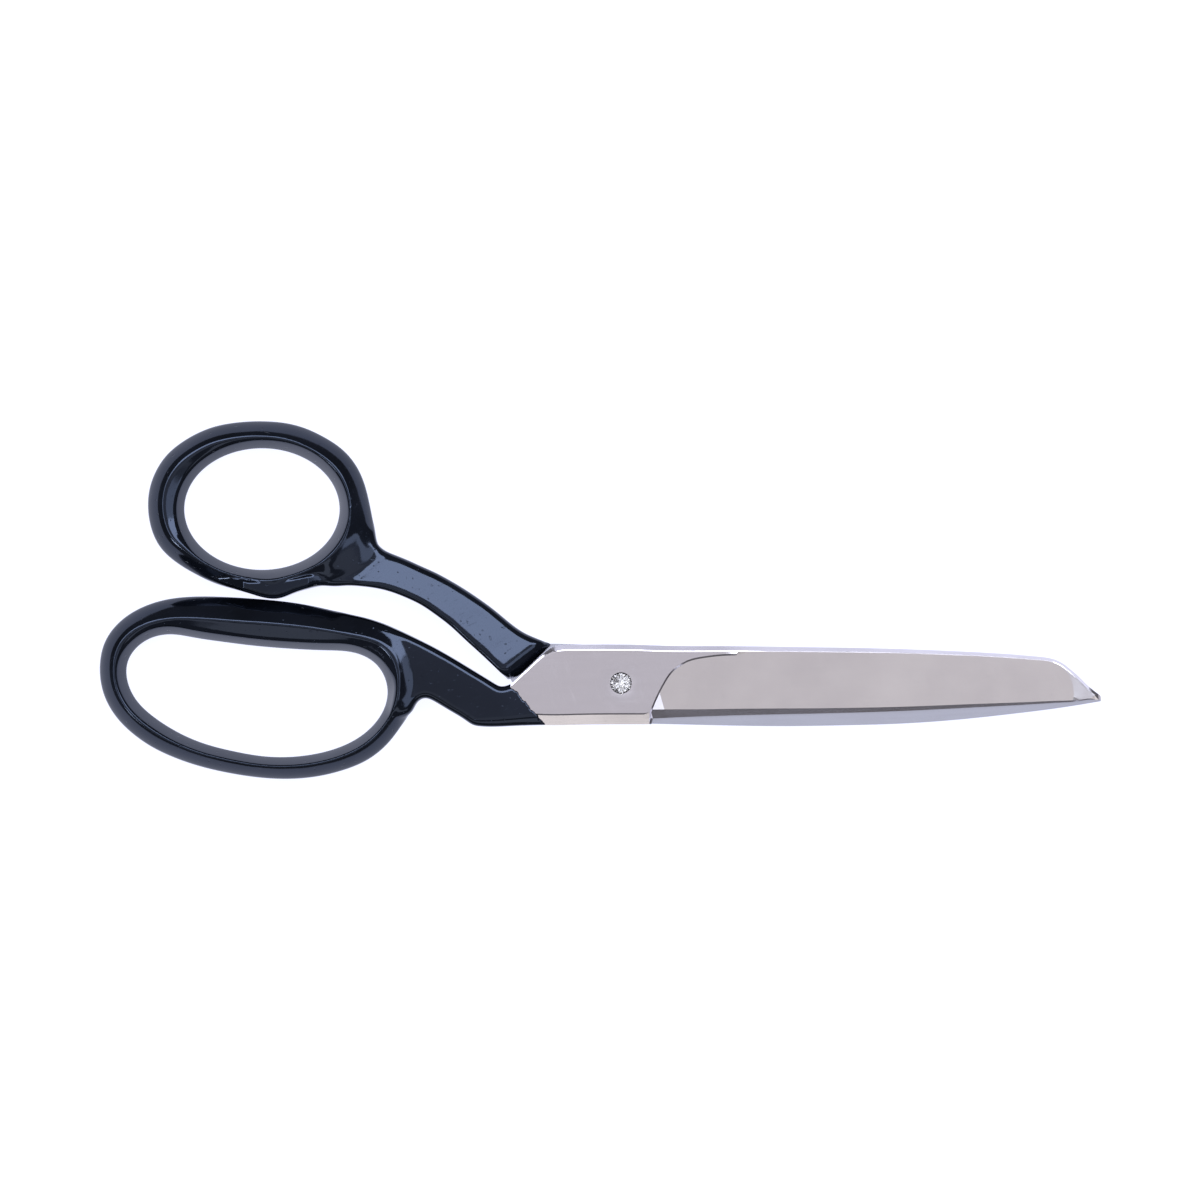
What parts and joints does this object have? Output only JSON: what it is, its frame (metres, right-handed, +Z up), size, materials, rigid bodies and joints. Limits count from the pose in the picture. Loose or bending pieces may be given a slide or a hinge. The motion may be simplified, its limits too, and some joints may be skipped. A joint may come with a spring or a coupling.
{
  "type": "fabric shears",
  "caption": "Bent-handle fabric shears: two crossed plated blades on one staked screw, with black enamelled finger and thumb bows, right-handed.",
  "frame": {"origin": "centre of the underside of the closed shears' box, lying flat on the finger bow's and thumb bow's rear faces", "axes": "+X towards the blade tips, +Y from the finger bow towards the thumb bow, +Z up, out of the front ricasso"},
  "size_m": [0.2056, 0.0738, 0.0096],
  "materials": {
    "plated_steel": "polished nickel plate over forged steel",
    "black_enamel": "glossy dipped enamel",
    "screw_steel": "bare steel, staked end"
  },
  "bodies": {
    "finger_half": {"front_blade": "plated_steel", "finger_handle_enamel": "black_enamel", "pivot_screw": "screw_steel"},
    "thumb_half": {"rear_blade": "plated_steel", "thumb_handle_enamel": "black_enamel"}
  },
  "joints": [
    {"name": "pivot", "type": "hinge", "parent": "finger_half", "child": "thumb_half", "pos_m": [0.00427, -0.01696, 0.0048], "axis": [0, 0, -1], "range_deg": [0, 118]}
  ]
}
